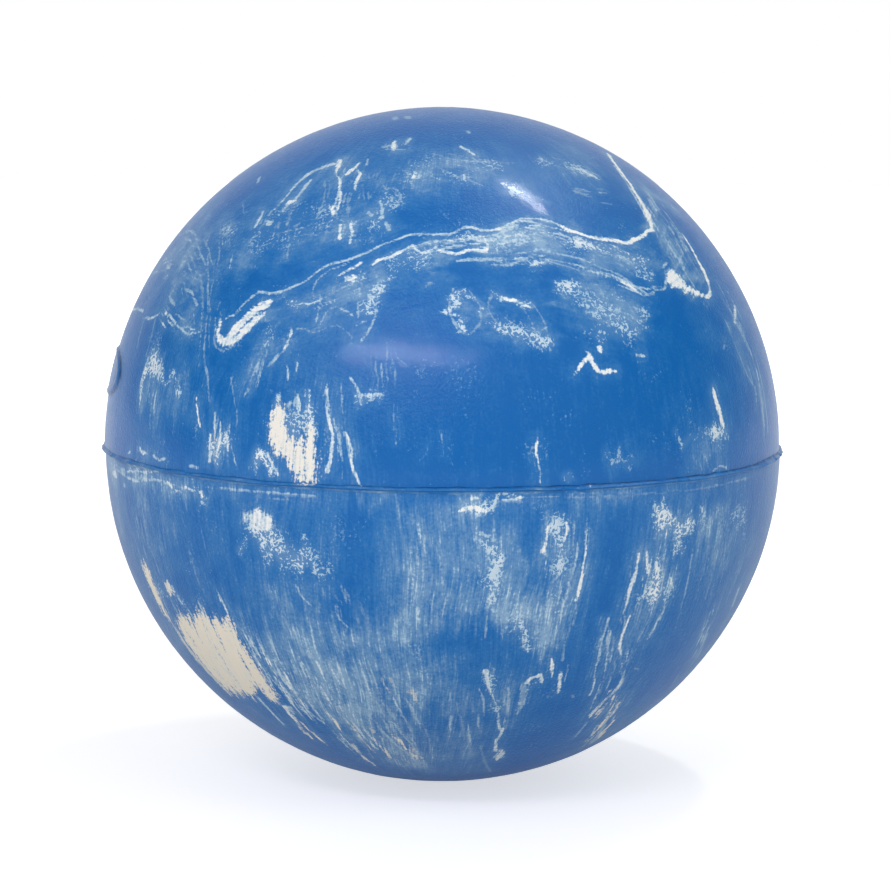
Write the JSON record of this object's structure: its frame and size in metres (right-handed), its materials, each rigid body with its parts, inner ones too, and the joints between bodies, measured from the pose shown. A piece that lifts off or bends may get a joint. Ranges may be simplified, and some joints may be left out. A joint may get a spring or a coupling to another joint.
{
  "type": "bowling ball",
  "caption": "Palm-held rubber bowling ball without finger holes: marbled half-shell covers vulcanised round a dense core, with a raised parting bead and a blank badge.",
  "frame": {"origin": "centre of the ball, on the parting plane of its mould", "axes": "+Z square to the parting plane, towards the half that carries the badge; -Y is the front, and the badge is near -X"},
  "size_m": [0.1286, 0.1286, 0.127],
  "materials": {
    "upper_cover": "satin",
    "lower_cover": "satin",
    "seam_bead": "satin",
    "core": "matte"
  },
  "bodies": {
    "root": {"upper_cover": "upper_cover", "lower_cover": "lower_cover", "seam_bead": "seam_bead", "core": "core"}
  },
  "joints": []
}
